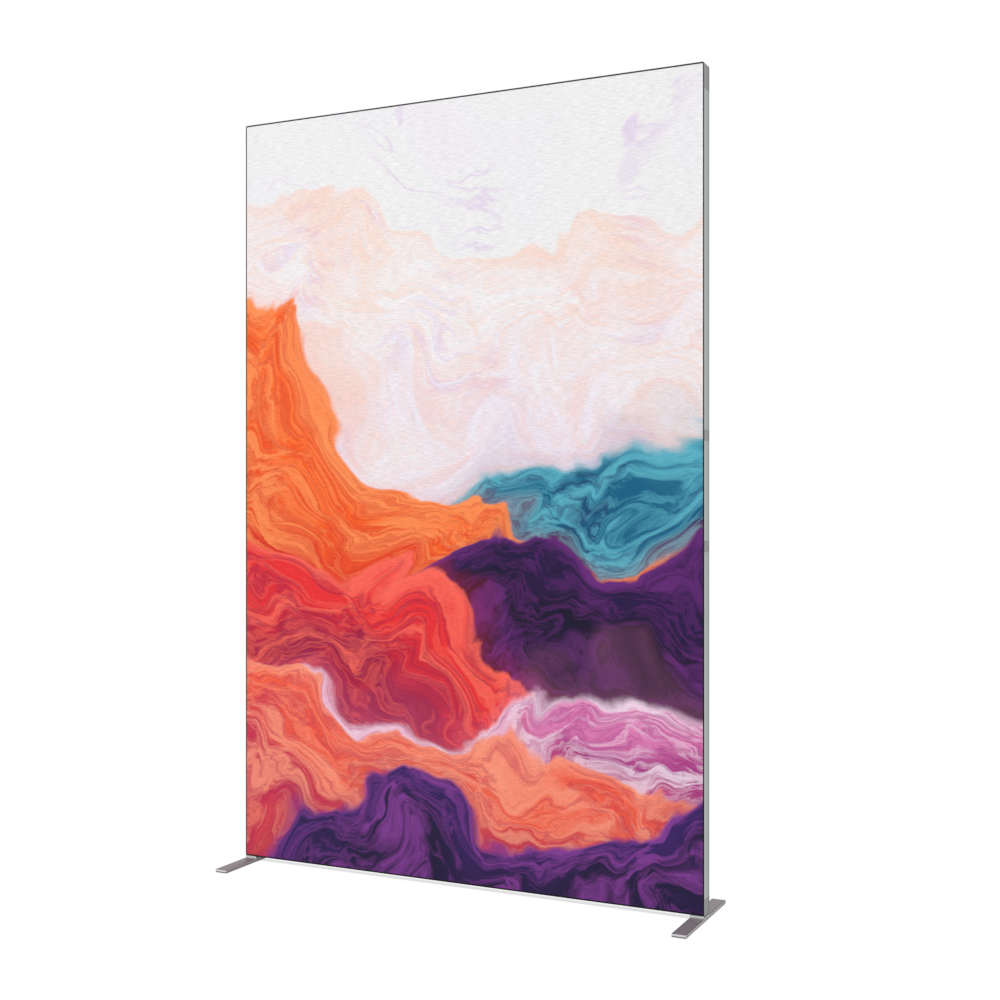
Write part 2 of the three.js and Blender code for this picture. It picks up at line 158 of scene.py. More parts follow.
def new_group(name, inputs, outputs):
    """An empty shader node group with named inputs and outputs."""
    tree = bpy.data.node_groups.new(name, "ShaderNodeTree")
    for label, kind, value in inputs:
        socket = tree.interface.new_socket(label, in_out="INPUT", socket_type=kind)
        if value is not None:
            socket.default_value = value
    for label, kind in outputs:
        tree.interface.new_socket(label, in_out="OUTPUT", socket_type=kind)
    return tree, tree.nodes.new("NodeGroupInput").outputs, tree.nodes.new("NodeGroupOutput").inputs


def place_group(tree, group, inputs):
    """A copy of a node group in a material, with its inputs filled. Returns its outputs."""
    made = tree.nodes.new("ShaderNodeGroup")
    made.node_tree = group
    for name, value in inputs.items():
        fill(tree, made.inputs[name], value)
    return made.outputs


def new_material(name):
    """A material with its node tree, its shader's inputs and the object's own coordinates."""
    made = bpy.data.materials.new(name)
    made.use_nodes = True
    tree = made.node_tree
    place = tree.nodes.new("ShaderNodeTexCoord").outputs["Object"]
    return made, tree, tree.nodes["Principled BSDF"].inputs, place


FLOAT = "NodeSocketFloat"
VECTOR = "NodeSocketVector"
COLOUR = "NodeSocketColor"

# %% [markdown]
# ## Shared effects
# Three small effects are used by several finishes, so each is a node group built once. Surface grain
# gives a moulded or coated piece its fine texture and the soft uneven patches of handling. Drawn
# lines are the faint marks that the die leaves along an extrusion. Rim shade is painted light and
# shade: a painted highlight near the front of the frame's outer faces, painted shade towards their
# back, and dark painted shade on the lip round the cloth's hem. A group puts out only colours,
# roughness and normals, and each material keeps its own shader.


# %% Surface grain
PATCH_SCALE = 9.0
PATCH_SHADES = (0.95, 1.04)
SPECK_SHADES = (0.97, 1.03)
GRAIN_GLOSS = 0.16


def put_out(tree, given, result, tint, gloss, spread, bump):
    """Fill an effect's outputs: a tinted colour, a roughness varied by the gloss noise, a bump."""
    least = maths(tree, "SUBTRACT", given["Roughness"], spread / 2)
    fill(tree, result["Colour"], shaded(tree, given["Colour"], tint))
    fill(tree, result["Roughness"], maths(tree, "MULTIPLY_ADD", gloss, spread, least))
    fill(tree, result["Normal"], add_node(tree, "ShaderNodeBump", bump).outputs[0])


def make_grain():
    tree, given, result = new_group(
        "surface grain",
        [
            ("Place", VECTOR, None),
            ("Colour", COLOUR, None),
            ("Roughness", FLOAT, 0.5),
            ("Grain size", FLOAT, 0.001),
            ("Strength", FLOAT, 0.1),
        ],
        [("Colour", COLOUR), ("Roughness", FLOAT), ("Normal", VECTOR)],
    )
    fine = noise(tree, given["Place"], maths(tree, "DIVIDE", 1.0, given["Grain size"]), 2.0, 0.6)
    broad = noise(tree, given["Place"], PATCH_SCALE, 3.0, 0.6)
    patches = remap(tree, broad, 0.3, 0.7, *PATCH_SHADES)
    specks = remap(tree, fine, 0.3, 0.7, *SPECK_SHADES)
    bump = {"Strength": given["Strength"], "Distance": given["Grain size"], "Height": fine}
    put_out(tree, given, result, maths(tree, "MULTIPLY", patches, specks), broad, GRAIN_GLOSS, bump)
    return tree


grain = make_grain()

# %% Drawn lines
LINE_SHADES = (0.93, 1.06)
LINE_GLOSS = 0.18
LINE_DEPTH = 0.0003
LINE_STRENGTH = 0.12


def make_drawn_lines():
    tree, given, result = new_group(
        "drawn lines",
        [("Across", VECTOR, None), ("Colour", COLOUR, None), ("Roughness", FLOAT, 0.35)],
        [("Colour", COLOUR), ("Roughness", FLOAT), ("Normal", VECTOR)],
    )
    lines = noise(tree, given["Across"], 1.0, 4.0, 0.7)
    tint = remap(tree, lines, 0.25, 0.75, *LINE_SHADES)
    bump = {"Strength": LINE_STRENGTH, "Distance": LINE_DEPTH, "Height": lines}
    put_out(tree, given, result, tint, lines, LINE_GLOSS, bump)
    return tree


drawn_lines = make_drawn_lines()

# %% Rim shade
LIP_DEPTH = 0.0008
LIP_FADE = 0.0002
LIP_SHADE = 0.02
BRIGHT_BAND = (-0.014, -0.008)
BRIGHT_SHARE = 1.17
PLAIN_SHARE = 0.93
DARK_BAND = (0.009, 0.013)
DARK_SHARE = 0.6
FRONT_TO_SIDE = (0.8, 0.4)
frame_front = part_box("upright_right_lower")[0].y


def own_normal(tree):
    """The way a face looks in the piece's own frame, which turns with the piece."""
    return add_node(tree, "ShaderNodeTexCoord").outputs["Normal"]


def looking(tree, part, start, stop):
    """The size of one part of a normal, eased from start to stop."""
    return remap(tree, maths(tree, "ABSOLUTE", part), start, stop)


def on_sides(tree, facing, share):
    """The share on faces that look sideways, easing to 1 on those that look to the front or back."""
    sideways = looking(tree, split(tree, facing)["Y"], *FRONT_TO_SIDE)
    return maths(tree, "MULTIPLY_ADD", sideways, maths(tree, "SUBTRACT", share, 1.0), 1.0)


def make_rim_shade():
    """Paints shade on the lip round the cloth's hem, and light and shade on the outer faces from front to
    back.
    """
    tree, given, result = new_group(
        "rim shade",
        [("Place", VECTOR, None), ("Facing", VECTOR, None), ("Colour", COLOUR, None)],
        [("Colour", COLOUR)],
    )
    depth = split(tree, given["Place"])["Y"]
    # Painted shade on the front of the lip
    lip_end = frame_front + LIP_DEPTH
    lip = remap(tree, depth, lip_end, lip_end + LIP_FADE, LIP_SHADE, 1.0)
    # A painted highlight towards the front of the outer faces, and painted shade towards their back
    bright = remap(tree, depth, *BRIGHT_BAND, BRIGHT_SHARE, PLAIN_SHARE)
    dark = remap(tree, depth, *DARK_BAND, 1.0, DARK_SHARE / PLAIN_SHARE)
    band = on_sides(tree, given["Facing"], maths(tree, "MULTIPLY", bright, dark))
    fill(tree, result["Colour"], shaded(tree, given["Colour"], maths(tree, "MULTIPLY", lip, band)))
    return tree


rim_shade = make_rim_shade()
print("shared effects:", [group.name for group in bpy.data.node_groups])

# %% [markdown]
# ## Anodised extrusions
# The uprights, rails and crossbar are satin silver anodised aluminium. Anodising keeps the metal's
# reflection and softens it. The die's lines run along the length, so the noise is squeezed across
# the piece and drawn out along it. Uprights and rails need the lines in different directions.

# %% Anodised aluminium
SILVER = srgb(160, 165, 164)
SILVER_ROUGHNESS = 0.36
SILVER_METAL = 0.85
LINES_ALONG = 0.8
LINES_ACROSS = 900


def connect(tree, shader, effect):
    """Feed a group's colour, roughness and normal to the shader."""
    fill(tree, shader["Base Color"], effect["Colour"])
    fill(tree, shader["Roughness"], effect["Roughness"])
    fill(tree, shader["Normal"], effect["Normal"])


def in_rim(tree, place, colour):
    """The colour with the rim's shade over it."""
    inputs = {"Place": place, "Facing": own_normal(tree), "Colour": colour}
    return place_group(tree, rim_shade, inputs)["Colour"]


def anodised(name, long_axis):
    made, tree, shader, place = new_material(name)
    squeeze = [LINES_ACROSS] * 3
    squeeze[long_axis] = LINES_ALONG
    across = stretched(tree, place, squeeze)
    inputs = {"Across": across, "Colour": in_rim(tree, place, SILVER), "Roughness": SILVER_ROUGHNESS}
    connect(tree, shader, place_group(tree, drawn_lines, inputs))
    shader["Metallic"].default_value = SILVER_METAL
    return made


anodised_upright = anodised("anodised upright", 2)
anodised_rail = anodised("anodised rail", 0)

# %% [markdown]
# ## Moulded, coated and plated pieces
# The corners, joiners and brackets are moulded in grey plastic with a fine spark-eroded grain. All
# of these differ only in colour, roughness, grain and metal, so one function makes them from the
# shared grain. Pieces in the frame's rim take the rim's painted shade as well. A spacer's two sides
# carry painted shade on their upper part, which lies close under the frame, and a joiner's band
# carries painted shade along its front and rear edges.

# %% Moulded, coated and plated finishes
BAND_FRONT = (-0.0155, -0.0135)
BAND_FRONT_SHADE = 0.74
BAND_REAR = (0.010, 0.012)
BAND_REAR_SHADE = 0.78
SPACER_SHADE = 0.06
SPACER_SHADE_SHARES = (0.15, 0.35)
TO_SIDE = (0.4, 0.8)
spacer_low, spacer_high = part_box("foot_spacer_right")


def under_frame(tree, place, colour):
    """The colour of a spacer, with painted shade on the upper part of its two sides, under the frame."""
    # Painted shade on the upper part of the spacer's sides, where the frame overhangs them
    side = looking(tree, split(tree, own_normal(tree))["X"], *TO_SIDE)
    low, high = (spacer_low.lerp(spacer_high, share).z for share in SPACER_SHADE_SHARES)
    dark = maths(tree, "MULTIPLY", side, remap(tree, split(tree, place)["Z"], low, high))
    return shaded(tree, colour, maths(tree, "MULTIPLY_ADD", dark, SPACER_SHADE - 1.0, 1.0))


def in_band(tree, place, colour):
    """The colour of a joiner's band: the rim's, with painted shade near its front and rear edges."""
    depth = split(tree, place)["Y"]
    # Painted shade along the band's front and rear edges
    front = remap(tree, depth, *BAND_FRONT, BAND_FRONT_SHADE, 1.0)
    rear = remap(tree, depth, *BAND_REAR, 1.0, BAND_REAR_SHADE)
    share = on_sides(tree, own_normal(tree), maths(tree, "MULTIPLY", front, rear))
    return shaded(tree, in_rim(tree, place, colour), share)


def grained(name, colour, roughness, size, strength, metallic=0.0, shade=None):
    """A material of the shared grain, with its colour passed through a shade where one is given."""
    made, tree, shader, place = new_material(name)
    if shade:
        colour = shade(tree, place, colour)
    inputs = {
        "Place": place,
        "Colour": colour,
        "Roughness": roughness,
        "Grain size": size,
        "Strength": strength,
    }
    connect(tree, shader, place_group(tree, grain, inputs))
    shader["Metallic"].default_value = metallic
    return made


corner_plastic = grained("corner plastic", srgb(133, 133, 134), 0.5, 0.0008, 0.15, shade=in_rim)
joiner_plastic = grained("joiner plastic", srgb(136, 139, 138), 0.5, 0.0008, 0.15, shade=in_band)
spacer_plastic = grained("spacer plastic", srgb(212, 216, 215), 0.45, 0.0008, 0.1, shade=under_frame)
rubber = grained("rubber", srgb(38, 38, 39), 0.85, 0.0005, 0.3)
spring_steel = grained("spring steel", srgb(190, 192, 194), 0.28, 0.0004, 0.05, metallic=1.0)
zinc = grained("zinc plate", srgb(182, 184, 182), 0.35, 0.0005, 0.08, metallic=1.0)
brass = grained("turned brass", srgb(178, 142, 78), 0.35, 0.0004, 0.05, metallic=1.0)
silicone = grained("silicone", srgb(228, 230, 226), 0.55, 0.0006, 0.05)

# %% [markdown]
# ## Feet
# Each foot is a length of flat steel bar in a thin metallic coat. Light and shade are painted on it
# by the way each face looks: the top is the darkest, a warm grey, while the rolled long edges are
# painted lighter and the sawn ends lighter still, as the light falls on them. The direction in which
# a face looks, taken from the piece's own normal, tells these apart. A narrow darker border on the
# top is measured from the bar's outline, and so is a line of painted shade along the bottom edge.

# %% Foot finish
FOOT_TOP = srgb(140, 133, 138)
FOOT_EDGE = srgb(168, 166, 167)
FOOT_END = srgb(216, 214, 216)
BORDER = (0.0022, 0.00286)
BORDER_SHADE = 0.3
BOTTOM_LINE = (0.0022, 0.00264)
BOTTOM_SHADE = 0.15
OFF_TOP = (0.5, 0.9)
foot_low, foot_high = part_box("foot_right")


def foot_finish():
    """The feet's coat, with painted light and shade. A foot's width is measured from x = 0 outwards, so one
    coat suits both.
    """
    made, tree, shader, place = new_material("foot coating")
    facing = split(tree, own_normal(tree))
    axes = split(tree, place)
    middle = (foot_low.x + foot_high.x) / 2
    from_middle = maths(tree, "SUBTRACT", maths(tree, "ABSOLUTE", axes["X"]), middle)
    in_width = maths(tree, "SUBTRACT", foot_high.x - middle, maths(tree, "ABSOLUTE", from_middle))
    in_length = maths(tree, "SUBTRACT", foot_high.y, maths(tree, "ABSOLUTE", axes["Y"]))
    inward = maths(tree, "MINIMUM", in_width, in_length)
    colour = shaded(tree, FOOT_TOP, remap(tree, inward, *BORDER, BORDER_SHADE, 1.0))
    # Painted light: the long sides lighter than the top, and the ends lighter still, by the way each face
    # looks
    colour = mix_colour(tree, looking(tree, facing["X"], *OFF_TOP), colour, FOOT_EDGE)
    colour = mix_colour(tree, looking(tree, facing["Y"], *OFF_TOP), colour, FOOT_END)
    # Painted shade along the bottom edge, close to the floor
    height = maths(tree, "SUBTRACT", axes["Z"], foot_low.z)
    colour = shaded(tree, colour, remap(tree, height, *BOTTOM_LINE, BOTTOM_SHADE, 1.0))
    inputs = {"Place": place, "Colour": colour, "Roughness": 0.46, "Grain size": 0.0007, "Strength": 0.14}
    connect(tree, shader, place_group(tree, grain, inputs))
    shader["Metallic"].default_value = 0.1
    shader["Specular IOR Level"].default_value = 0.2
    return made


foot_coating = foot_finish()

# %% Give every rigid node its finish
FINISHES = {
    "upright_": anodised_upright,
    "rail_": anodised_rail,
    "crossbar_bracket": joiner_plastic,
    "crossbar_": anodised_rail,
    "corner_": corner_plastic,
    "joiner_": joiner_plastic,
    "snap_button": spring_steel,
    "silicone_strip": silicone,
    "foot_spacer": spacer_plastic,
    "foot_bolt": zinc,
    "foot_insert": brass,
    "foot_pad": rubber,
    "foot_": foot_coating,
}
dressed = 0
for name, piece in node.items():
    finish = next((made for start, made in FINISHES.items() if name.startswith(start)), None)
    if finish:
        piece.data.materials.clear()
        piece.data.materials.append(finish)
        dressed += 1
print("rigid nodes dressed:", dressed, "of", len(node))

# %% [markdown]
# ## The printed design
# The cloth carries a generic design like marbled paper: a pale ground with faint lilac and peach
# veins, then teal, orange, red, deep violet, pink and indigo layers, each with a curling crest and
# silky folds that follow it. One layer, or veil, is a node group. It works out how far a point
# lies below a wavy crest line, and colours the point by that depth over whatever lies under it.
# Copies laid over each other make the picture. Painting it from noise keeps it sharp at any
# distance, and it needs no image.


# %% Winding lines and curled coordinates
def ridge(tree, value):
    """1 where a noise passes its middle and 0 far from it, which draws winding lines."""
    away = maths(tree, "ABSOLUTE", maths(tree, "MULTIPLY_ADD", value, 2.0, -1.0))
    return maths(tree, "SUBTRACT", 1.0, away)


def warp(tree, place, scale, reach, detail):
    """The coordinates pushed about by noise, which curls whatever is drawn on them."""
    inputs = {"Vector": place, "Scale": scale, "Detail": detail, "Roughness": 0.55}
    push = add_node(tree, "ShaderNodeTexNoise", inputs).outputs["Color"]
    centred = add_node(tree, "ShaderNodeVectorMath", {0: push, 1: (0.5, 0.5, 0.5)}, operation="SUBTRACT")
    inputs = {0: centred.outputs[0], "Scale": reach}
    scaled = add_node(tree, "ShaderNodeVectorMath", inputs, operation="SCALE")
    moved = {0: place, 1: scaled.outputs[0]}
    return add_node(tree, "ShaderNodeVectorMath", moved, operation="ADD").outputs[0]


# %% One veil
VEIL_NUMBERS = ["Height", "Slope", "Swell", "Waves", "Phase", "Depth", "Softness", "Cover"]
VEIL_COLOURS = ["Crest colour", "Body colour", "Deep colour"]
FOLDS = (1.5, 1.0, 4.6)
STRANDS = (4.0, 1.0, 17.0)
DARK_STRANDS = (2.6, 1.0, 12.0)
PUFFS = (2.6, 1.0, 2.6)
PUFF_DEPTH = 1.7
CREST_WIDTH = 0.05
HALO = (-0.1, 0.03)
HALO_SHARE = 0.16


def make_veil():
    tree, given, result = new_group(
        "marbled veil",
        [
            ("Place", VECTOR, None),
            ("Under", COLOUR, None),
            *((label, COLOUR, None) for label in VEIL_COLOURS),
            *((label, FLOAT, None) for label in VEIL_NUMBERS),
        ],
        [("Colour", COLOUR)],
    )
    axes = split(tree, given["Place"])
    angle = maths(tree, "MULTIPLY_ADD", axes["X"], given["Waves"], given["Phase"])
    wave = maths(tree, "MULTIPLY", maths(tree, "SINE", angle), given["Swell"])
    line = maths(tree, "MULTIPLY_ADD", axes["X"], given["Slope"], maths(tree, "ADD", wave, given["Height"]))
    below = maths(tree, "SUBTRACT", line, axes["Z"])
    share = maths(tree, "DIVIDE", below, given["Depth"])
    flow = {"X": axes["X"], "Y": given["Phase"], "Z": below}
    curled = warp(tree, add_node(tree, "ShaderNodeCombineXYZ", flow).outputs[0], 3.2, 0.16, 3.0)
    folds = ridge(tree, noise(tree, stretched(tree, curled, FOLDS), 1.0, 5.0, 0.55))
    strands = ridge(tree, noise(tree, stretched(tree, curled, STRANDS), 1.0, 7.0, 0.66))
    dark_strands = ridge(tree, noise(tree, stretched(tree, curled, DARK_STRANDS, (4, 0, 2)), 1.0, 7.0, 0.64))
    puffs = noise(tree, stretched(tree, curled, PUFFS), 1.0, 4.0, 0.5)
    tone = maths(tree, "MULTIPLY_ADD", maths(tree, "SUBTRACT", puffs, 0.5), PUFF_DEPTH, share)
    crest, body, deep = (given[label] for label in VEIL_COLOURS)
    colour = mix_colour(tree, remap(tree, tone, -0.1, 0.35), crest, body)
    # From the veil's depth to the soft and sharp sides of its folds, its strands and its crest line
    coats = [
        (remap(tree, tone, 0.45, 1.1), deep),
        (remap(tree, folds, 0.97, 0.55, 0.0, 0.6), body),
        (remap(tree, folds, 0.9, 1.0, 0.0, 0.75), crest),
        (remap(tree, strands, 0.86, 1.0, 0.0, 0.42), crest),
        (remap(tree, dark_strands, 0.9, 1.0, 0.0, 0.45), deep),
        (remap(tree, below, CREST_WIDTH, 0.0, 0.0, 0.75), crest),
    ]
    for mask, coat in coats:
        colour = mix_colour(tree, mask, colour, coat)
    mask = remap(tree, below, 0.0, given["Softness"])
    thick = remap(tree, maths(tree, "ADD", share, folds), 0.5, 1.0, 0.88, 1.0)
    cover = maths(tree, "MULTIPLY", maths(tree, "MULTIPLY", mask, thick), given["Cover"])
    halo = maths(tree, "MULTIPLY", remap(tree, below, *HALO, 0.0, HALO_SHARE), given["Cover"])
    under = mix_colour(tree, halo, given["Under"], body)
    fill(tree, result["Colour"], mix_colour(tree, cover, under, colour))
    return tree


veil = make_veil()

# %% The veils from back to front
# Each row gives a name, then VEIL_NUMBERS and VEIL_COLOURS in their order
VEILS = [
    ("peach", 1.98, -0.16, 0.07, 2.9, 5.0, 0.9, 0.03, 0.4, (255, 184, 142), (246, 240, 244), (242, 234, 244)),
    ("lilac", 1.52, -0.22, 0.10, 3.4, 0.6, 0.5, 0.25, 0.26, (238, 222, 243), (222, 190, 232), (196, 150, 214)),
    ("teal", 1.22, 0.34, 0.10, 4.2, 2.2, 0.32, 0.04, 1.0, (96, 186, 204), (16, 96, 132), (32, 30, 92)),
    ("orange", 1.26, -0.42, 0.13, 3.9, 4.0, 0.55, 0.02, 1.0, (255, 150, 88), (250, 98, 34), (216, 46, 34)),
    ("night", 0.92, 0.26, 0.09, 5.1, 1.1, 0.26, 0.02, 1.0, (104, 40, 122), (38, 18, 68), (18, 11, 38)),
    ("red", 0.80, -0.30, 0.10, 4.4, 3.1, 0.32, 0.02, 1.0, (252, 106, 90), (235, 48, 52), (148, 20, 68)),
    ("pale", 0.56, 0.10, 0.07, 4.9, 5.3, 0.18, 0.04, 1.0, (246, 226, 242), (228, 132, 186), (168, 52, 132)),
    ("coral", 0.46, -0.16, 0.09, 5.6, 0.2, 0.36, 0.02, 1.0, (255, 156, 128), (244, 94, 68), (200, 46, 82)),
    ("indigo", 0.20, 0.16, 0.08, 4.7, 2.6, 0.20, 0.04, 1.0, (138, 64, 158), (58, 32, 98), (30, 22, 58)),
]
PAPER = srgb(239, 239, 239)
PAPER_TINT = srgb(237, 231, 242)
VEIN = srgb(206, 160, 226)
VEINS = (1.1, 1.0, 6.0)
VEIN_SHARE = 0.4


def make_print():
    tree, given, result = new_group("flowing print", [("Place", VECTOR, None)], [("Colour", COLOUR)])
    place = given["Place"]
    curled = warp(tree, warp(tree, warp(tree, place, 1.3, 0.8, 2.0), 3.7, 0.3, 2.0), 11.0, 0.06, 3.0)
    tint = remap(tree, noise(tree, place, 1.6, 2.0), 0.45, 0.75, 0.0, 0.6)
    colour = mix_colour(tree, tint, PAPER, PAPER_TINT)
    winding = ridge(tree, noise(tree, stretched(tree, curled, VEINS), 1.0, 5.0, 0.6))
    patches = remap(tree, noise(tree, place, 2.3, 2.0), 0.46, 0.62)
    veins = maths(tree, "MULTIPLY", remap(tree, winding, 0.93, 1.0, 0.0, VEIN_SHARE), patches)
    colour = mix_colour(tree, veins, colour, VEIN)
    for _, *values in VEILS:
        inputs = {"Place": curled, "Under": colour, **dict(zip(VEIL_NUMBERS, values))}
        colours = (srgb(*value) for value in values[len(VEIL_NUMBERS):])
        inputs.update(zip(VEIL_COLOURS, colours))
        colour = place_group(tree, veil, inputs)["Colour"]
    fill(tree, result["Colour"], colour)
    return tree


flowing_print = make_print()
print("veils in the print:", [row[0] for row in VEILS])

# %% [markdown]
# ## The cloth
# The print is on a stretch knit, pulled flat by a silicone strip that is sewn along each edge and
# pressed into the frame's groove. So the cloth is a sheet whose rim turns down into the groove all
# round. It is built as rings: the outer rings follow the rounded corners and the turn, and the
# field inside them is a plain grid. A simulation would only find the same flat sheet.

# %% Rings round the cloth
cloth_low, cloth_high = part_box("cloth_front")
half_width = (cloth_high.x - cloth_low.x) / 2
half_height = (cloth_high.z - cloth_low.z) / 2
cloth_middle = (cloth_high.z + cloth_low.z) / 2
cloth_face = cloth_low.y
EDGE_CORNER = 0.0035
TURN_RADIUS = 0.0008
TURN_STEPS = 5
CORNER_STEPS = 5
FIELD_INSET = 0.03
FIELD_COLUMNS = 30
FIELD_ROWS = 46
CLOTH_THICKNESS = 0.0004
QUARTERS = [(1, -1), (1, 1), (-1, 1), (-1, -1)]


def ring(inset, drop, corner_steps):
    """Points once round the cloth, inset from its edge and dropped behind its face."""
    width = half_width - inset
    height = half_height - inset
    radius = max(EDGE_CORNER - inset, 0.0)
    points = []
    for quarter, (across, up) in enumerate(QUARTERS):
        middle = Vector((across * (width - radius), up * (height - radius)))
        for step in range(corner_steps + 1):
            angle = (quarter - 1 + step / max(corner_steps, 1)) * math.pi / 2
            points.append(middle + radius * Vector((math.cos(angle), math.sin(angle))))
        upright = quarter % 2 == 0
        count = FIELD_ROWS if upright else FIELD_COLUMNS
        reach = (half_height if upright else half_width) - FIELD_INSET
        for step in range(1, count):
            run = reach * (2 * step / count - 1)
            spot = (width, run) if upright else (-run, height)
            points.append(Vector(spot) * (1 if quarter < 2 else -1))
    return [(x, cloth_face + drop, cloth_middle + z) for x, z in points]


def turned_rim():
    """The rings from the back of the turn to the cloth's face."""
    angles = [step / TURN_STEPS * math.pi / 2 for step in range(TURN_STEPS + 1)]
    return [
        ring(TURN_RADIUS * (1 - math.cos(angle)), TURN_RADIUS * (1 - math.sin(angle)), CORNER_STEPS)
        for angle in angles
    ]


# %% The field inside the rings
def steps_round(column, row):
    """How many steps round the field's edge a grid point lies, or None inside the field."""
    if column == FIELD_COLUMNS:
        return row
    if row == FIELD_ROWS:
        return FIELD_ROWS + FIELD_COLUMNS - column
    if column == 0:
        return 2 * FIELD_ROWS + FIELD_COLUMNS - row
    if row == 0:
        return 2 * FIELD_ROWS + FIELD_COLUMNS + column
    return None


def add_field(vertices, faces, first_edge):
    """The grid whose edge is the ring of points that starts at first_edge."""
    around = 2 * (FIELD_COLUMNS + FIELD_ROWS)
    grid = {}
    for column in range(FIELD_COLUMNS + 1):
        for row in range(FIELD_ROWS + 1):
            steps = steps_round(column, row)
            if steps is None:
                x = (half_width - FIELD_INSET) * (2 * column / FIELD_COLUMNS - 1)
                z = (half_height - FIELD_INSET) * (2 * row / FIELD_ROWS - 1)
                grid[column, row] = len(vertices)
                vertices.append((x, cloth_face, cloth_middle + z))
            else:
                grid[column, row] = first_edge + steps % around
    for column in range(FIELD_COLUMNS):
        for row in range(FIELD_ROWS):
            low, high = grid[column, row], grid[column + 1, row]
            faces.append((low, high, grid[column + 1, row + 1], grid[column, row + 1]))


def add_border(faces, outer, first_edge):
    """The strip between the last ring, with its rounded corners, and the field's square edge."""
    inner_of = []
    count = 0
    for quarter in range(4):
        inner_of += [count] * (CORNER_STEPS + 1)
        steps = FIELD_ROWS if quarter % 2 == 0 else FIELD_COLUMNS
        inner_of += range(count + 1, count + steps)
        count += steps
    around = len(inner_of)
    for i in range(around):
        j = (i + 1) % around
        p, q = inner_of[i] % count, inner_of[j] % count
        corner = (outer + i, outer + j, first_edge + q)
        faces.append(corner if p == q else (*corner, first_edge + p))


def build_cloth():
    rings = turned_rim()
    vertices = [point for points in rings for point in points]
    around = len(rings[0])
    outer = len(vertices) - around
    faces = []
    for start in range(0, outer, around):
        for i in range(around):
            j = (i + 1) % around
            faces.append((start + i, start + j, start + around + j, start + around + i))
    first_edge = len(vertices)
    vertices += ring(FIELD_INSET, 0.0, 0)
    add_border(faces, outer, first_edge)
    add_field(vertices, faces, first_edge)
    mesh = bpy.data.meshes.new("cloth_sheet")
    mesh.from_pydata(vertices, [], faces)
    mesh.validate()
    mesh.shade_smooth()
    made = bpy.data.objects.new("cloth_sheet", mesh)
    scene.collection.objects.link(made)
    return made


cloth = build_cloth()
print("cloth faces:", len(cloth.data.polygons))

# %% [markdown]
# ## The knit
# From a few metres the knit shows only as fine threads, a little lighter and darker, most of them
# running across the wall. Close up it has rows of small loops. The hem, where the strip is sewn on
# and the cloth turns into the groove, carries painted shade: a thin dark line round the print, in a
# dark shade of each colour, with a faint stitch pattern in it. The back of the cloth is the unprinted
# side: nearly white, with a little of the colour showing through.

# %% Knit
ROWS = (36.0, 1.0, 450.0)
COLUMNS = (330.0, 1.0, 130.0)
COLUMN_SHARE = 0.5
THREAD_SHADES = (0.875, 1.085)
LOOP = 0.0011
LOOP_SHADES = (0.95, 1.03)
LOOP_HEIGHT = 0.5


def sine_along(tree, distance, length):
    """A sine that repeats once in each length."""
    return maths(tree, "SINE", maths(tree, "MULTIPLY", distance, 2 * math.pi / length))


def make_knit():
    tree, given, result = new_group(
        "stretch knit",
        [("Place", VECTOR, None), ("Colour", COLOUR, None)],
        [("Colour", COLOUR), ("Height", FLOAT)],
    )
    rows = noise(tree, stretched(tree, given["Place"], ROWS), 1.0, 2.0, 0.6)
    columns = noise(tree, stretched(tree, given["Place"], COLUMNS, (5, 0, 3)), 1.0, 2.0, 0.6)
    threads = maths(tree, "MULTIPLY_ADD", columns, COLUMN_SHARE, rows)
    axes = split(tree, given["Place"])
    loops = maths(tree, "MULTIPLY", sine_along(tree, axes["X"], LOOP), sine_along(tree, axes["Z"], LOOP))
    streaks = remap(tree, threads, 0.5, 1.0, *THREAD_SHADES)
    dots = remap(tree, loops, -1.0, 1.0, *LOOP_SHADES)
    fill(tree, result["Colour"], shaded(tree, given["Colour"], maths(tree, "MULTIPLY", streaks, dots)))
    fill(tree, result["Height"], maths(tree, "MULTIPLY_ADD", loops, LOOP_HEIGHT, threads))
    return tree


knit = make_knit()

# %% Hem and the two faces of the cloth
SIDE_HEM = 0.00245
END_HEM = 0.0033
HEM_INNER = 0.85
HEM_SHADES = (0.03, 0.09)
HEM_STITCH = 0.0022
UNPRINTED = srgb(236, 236, 239)
SHOW_THROUGH = 0.22


def cloth_material(name, strength_of_print):
    made, tree, shader, place = new_material(name)
    design = place_group(tree, flowing_print, {"Place": place})["Colour"]
    colour = mix_colour(tree, strength_of_print, UNPRINTED, design)
    woven = place_group(tree, knit, {"Place": place, "Colour": colour})
    axes = split(tree, place)
    side = maths(tree, "SUBTRACT", half_width, maths(tree, "ABSOLUTE", axes["X"]))
    level = maths(tree, "SUBTRACT", axes["Z"], cloth_middle)
    end = maths(tree, "SUBTRACT", half_height, maths(tree, "ABSOLUTE", level))
    # Painted shade on the hem, where the cloth turns into the groove
    side_hem = remap(tree, side, SIDE_HEM, SIDE_HEM * HEM_INNER)
    hem = maths(tree, "MAXIMUM", side_hem, remap(tree, end, END_HEM, END_HEM * HEM_INNER))
    stitch = sine_along(tree, maths(tree, "ADD", axes["X"], axes["Z"]), HEM_STITCH)
    hem_painted_shade = shaded(tree, woven["Colour"], remap(tree, stitch, -0.2, 0.6, *HEM_SHADES))
    fill(tree, shader["Base Color"], mix_colour(tree, hem, woven["Colour"], hem_painted_shade))
    bump = {"Strength": 0.25, "Distance": 0.0002, "Height": woven["Height"]}
    fill(tree, shader["Normal"], add_node(tree, "ShaderNodeBump", bump).outputs[0])
    shader["Roughness"].default_value = 0.88
    shader["Specular IOR Level"].default_value = 0.25
    shader["Sheen Weight"].default_value = 0.08
    return made


cloth.data.materials.append(cloth_material("printed knit", 1.0))
cloth.data.materials.append(cloth_material("back of the knit", SHOW_THROUGH))

